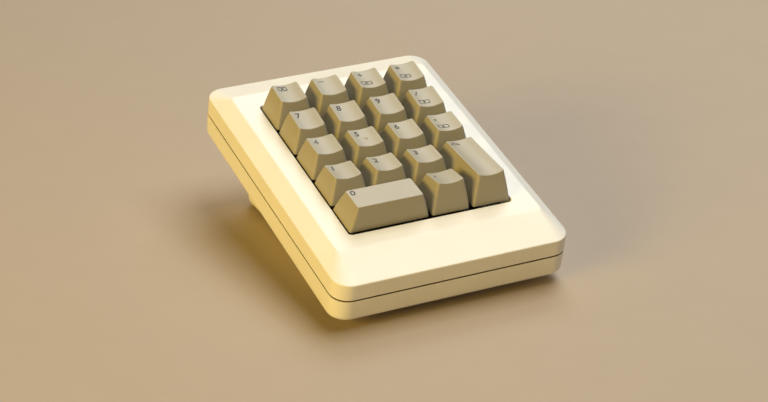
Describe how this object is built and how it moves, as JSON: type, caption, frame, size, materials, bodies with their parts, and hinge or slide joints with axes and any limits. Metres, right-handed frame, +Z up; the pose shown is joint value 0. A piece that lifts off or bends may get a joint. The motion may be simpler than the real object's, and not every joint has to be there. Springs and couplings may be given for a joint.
{
  "type": "numeric keypad",
  "caption": "Tilted slab numeric keypad in cream plastic with sculpted putty key caps, a wide zero, a tall enter key and two telephone-style jacks at the back.",
  "frame": {"origin": "on the table, under the middle of the keypad's overall box", "axes": "+Z up, +Y from the user towards the jacks at the back, +X to the user's right; the deck tilts 12.5 degrees about X"},
  "size_m": [0.1088, 0.1464, 0.065],
  "materials": {
    "case_plastic": "fine moulded texture, warm cream",
    "keycap_plastic": "putty beige, fine texture on the top",
    "stem_plastic": "amber moulded acetal",
    "black_plastic": "moulded, satin",
    "clip_plastic": "white moulded nylon",
    "plated_steel": "zinc plated",
    "painted_steel": "black paint, satin",
    "spring_steel": "drawn wire",
    "contact_metal": "gold flashed",
    "circuit_board": "green solder mask",
    "lead_sleeve": "soft insulation",
    "chip_epoxy": "moulded epoxy",
    "resonator_case": "dipped",
    "capacitor_case": "shrink sleeve",
    "resistor_body": "lacquered",
    "rubber": "soft, matte"
  },
  "bodies": {
    "case": {"top_case": "case_plastic", "bottom_case": "case_plastic", "switch_plate": "painted_steel", "circuit_board": "circuit_board", "switch_tops": "black_plastic", "switch_bases": "black_plastic", "switch_springs": "spring_steel", "contact_leaves": "contact_metal", "stabilizer_clips": "clip_plastic", "modular_jacks": "black_plastic", "jack_contacts": "contact_metal", "jack_leads": "lead_sleeve", "lead_headers": "black_plastic", "controller_chip": "chip_epoxy", "ceramic_resonator": "resonator_case", "capacitors": "capacitor_case", "resistors": "resistor_body", "plate_screws": "plated_steel", "case_screws": "plated_steel", "rubber_feet": "rubber"},
    "key_clear": {"keycap_clear": "keycap_plastic", "stem_clear": "stem_plastic"},
    "key_minus": {"keycap_minus": "keycap_plastic", "stem_minus": "stem_plastic"},
    "key_plus": {"keycap_plus": "keycap_plastic", "stem_plus": "stem_plastic"},
    "key_times": {"keycap_times": "keycap_plastic", "stem_times": "stem_plastic"},
    "key_7": {"keycap_7": "keycap_plastic", "stem_7": "stem_plastic"},
    "key_8": {"keycap_8": "keycap_plastic", "stem_8": "stem_plastic"},
    "key_9": {"keycap_9": "keycap_plastic", "stem_9": "stem_plastic"},
    "key_divide": {"keycap_divide": "keycap_plastic", "stem_divide": "stem_plastic"},
    "key_4": {"keycap_4": "keycap_plastic", "stem_4": "stem_plastic"},
    "key_5": {"keycap_5": "keycap_plastic", "stem_5": "stem_plastic"},
    "key_6": {"keycap_6": "keycap_plastic", "stem_6": "stem_plastic"},
    "key_comma": {"keycap_comma": "keycap_plastic", "stem_comma": "stem_plastic"},
    "key_1": {"keycap_1": "keycap_plastic", "stem_1": "stem_plastic"},
    "key_2": {"keycap_2": "keycap_plastic", "stem_2": "stem_plastic"},
    "key_3": {"keycap_3": "keycap_plastic", "stem_3": "stem_plastic"},
    "key_enter": {"keycap_enter": "keycap_plastic", "stem_enter": "stem_plastic"},
    "key_0": {"keycap_0": "keycap_plastic", "stem_0": "stem_plastic"},
    "key_point": {"keycap_point": "keycap_plastic", "stem_point": "stem_plastic"},
    "zero_stabilizer": {"zero_stabilizer_wire": "spring_steel"},
    "enter_stabilizer": {"enter_stabilizer_wire": "spring_steel"}
  },
  "joints": [
    {"name": "key_clear_travel", "type": "slide", "parent": "case", "child": "key_clear", "axis": [0, 0.2164, -0.9763], "range_m": [0, 0.0038], "stiffness_N_per_m": 80, "springref_m": -0.0045, "deforming": ["switch_springs"]},
    {"name": "key_minus_travel", "type": "slide", "parent": "case", "child": "key_minus", "axis": [0, 0.2164, -0.9763], "range_m": [0, 0.0038], "stiffness_N_per_m": 80, "springref_m": -0.0045, "deforming": ["switch_springs"]},
    {"name": "key_plus_travel", "type": "slide", "parent": "case", "child": "key_plus", "axis": [0, 0.2164, -0.9763], "range_m": [0, 0.0038], "stiffness_N_per_m": 80, "springref_m": -0.0045, "deforming": ["switch_springs"]},
    {"name": "key_times_travel", "type": "slide", "parent": "case", "child": "key_times", "axis": [0, 0.2164, -0.9763], "range_m": [0, 0.0038], "stiffness_N_per_m": 80, "springref_m": -0.0045, "deforming": ["switch_springs"]},
    {"name": "key_7_travel", "type": "slide", "parent": "case", "child": "key_7", "axis": [0, 0.2164, -0.9763], "range_m": [0, 0.0038], "stiffness_N_per_m": 80, "springref_m": -0.0045, "deforming": ["switch_springs"]},
    {"name": "key_8_travel", "type": "slide", "parent": "case", "child": "key_8", "axis": [0, 0.2164, -0.9763], "range_m": [0, 0.0038], "stiffness_N_per_m": 80, "springref_m": -0.0045, "deforming": ["switch_springs"]},
    {"name": "key_9_travel", "type": "slide", "parent": "case", "child": "key_9", "axis": [0, 0.2164, -0.9763], "range_m": [0, 0.0038], "stiffness_N_per_m": 80, "springref_m": -0.0045, "deforming": ["switch_springs"]},
    {"name": "key_divide_travel", "type": "slide", "parent": "case", "child": "key_divide", "axis": [0, 0.2164, -0.9763], "range_m": [0, 0.0038], "stiffness_N_per_m": 80, "springref_m": -0.0045, "deforming": ["switch_springs"]},
    {"name": "key_4_travel", "type": "slide", "parent": "case", "child": "key_4", "axis": [0, 0.2164, -0.9763], "range_m": [0, 0.0038], "stiffness_N_per_m": 80, "springref_m": -0.0045, "deforming": ["switch_springs"]},
    {"name": "key_5_travel", "type": "slide", "parent": "case", "child": "key_5", "axis": [0, 0.2164, -0.9763], "range_m": [0, 0.0038], "stiffness_N_per_m": 80, "springref_m": -0.0045, "deforming": ["switch_springs"]},
    {"name": "key_6_travel", "type": "slide", "parent": "case", "child": "key_6", "axis": [0, 0.2164, -0.9763], "range_m": [0, 0.0038], "stiffness_N_per_m": 80, "springref_m": -0.0045, "deforming": ["switch_springs"]},
    {"name": "key_comma_travel", "type": "slide", "parent": "case", "child": "key_comma", "axis": [0, 0.2164, -0.9763], "range_m": [0, 0.0038], "stiffness_N_per_m": 80, "springref_m": -0.0045, "deforming": ["switch_springs"]},
    {"name": "key_1_travel", "type": "slide", "parent": "case", "child": "key_1", "axis": [0, 0.2164, -0.9763], "range_m": [0, 0.0038], "stiffness_N_per_m": 80, "springref_m": -0.0045, "deforming": ["switch_springs"]},
    {"name": "key_2_travel", "type": "slide", "parent": "case", "child": "key_2", "axis": [0, 0.2164, -0.9763], "range_m": [0, 0.0038], "stiffness_N_per_m": 80, "springref_m": -0.0045, "deforming": ["switch_springs"]},
    {"name": "key_3_travel", "type": "slide", "parent": "case", "child": "key_3", "axis": [0, 0.2164, -0.9763], "range_m": [0, 0.0038], "stiffness_N_per_m": 80, "springref_m": -0.0045, "deforming": ["switch_springs"]},
    {"name": "key_enter_travel", "type": "slide", "parent": "case", "child": "key_enter", "axis": [0, 0.2164, -0.9763], "range_m": [0, 0.0038], "stiffness_N_per_m": 80, "springref_m": -0.0045, "deforming": ["switch_springs"]},
    {"name": "key_0_travel", "type": "slide", "parent": "case", "child": "key_0", "axis": [0, 0.2164, -0.9763], "range_m": [0, 0.0038], "stiffness_N_per_m": 80, "springref_m": -0.0045, "deforming": ["switch_springs"]},
    {"name": "key_point_travel", "type": "slide", "parent": "case", "child": "key_point", "axis": [0, 0.2164, -0.9763], "range_m": [0, 0.0038], "stiffness_N_per_m": 80, "springref_m": -0.0045, "deforming": ["switch_springs"]},
    {"name": "zero_stabilizer_turn", "type": "hinge", "parent": "case", "child": "zero_stabilizer", "pos_m": [-0.01905, -0.04614, 0.02632], "axis": [1, 0, 0], "range_deg": [-24.8, 0]},
    {"name": "enter_stabilizer_turn", "type": "hinge", "parent": "case", "child": "enter_stabilizer", "pos_m": [0.02028, -0.02874, 0.03018], "axis": [0, -0.9763, -0.2164], "range_deg": [-24.8, 0]}
  ],
  "couplings": [
    {"joint": "zero_stabilizer_turn", "follows": "key_0_travel", "rad_per_m": -113.6},
    {"joint": "enter_stabilizer_turn", "follows": "key_enter_travel", "rad_per_m": -113.6}
  ]
}
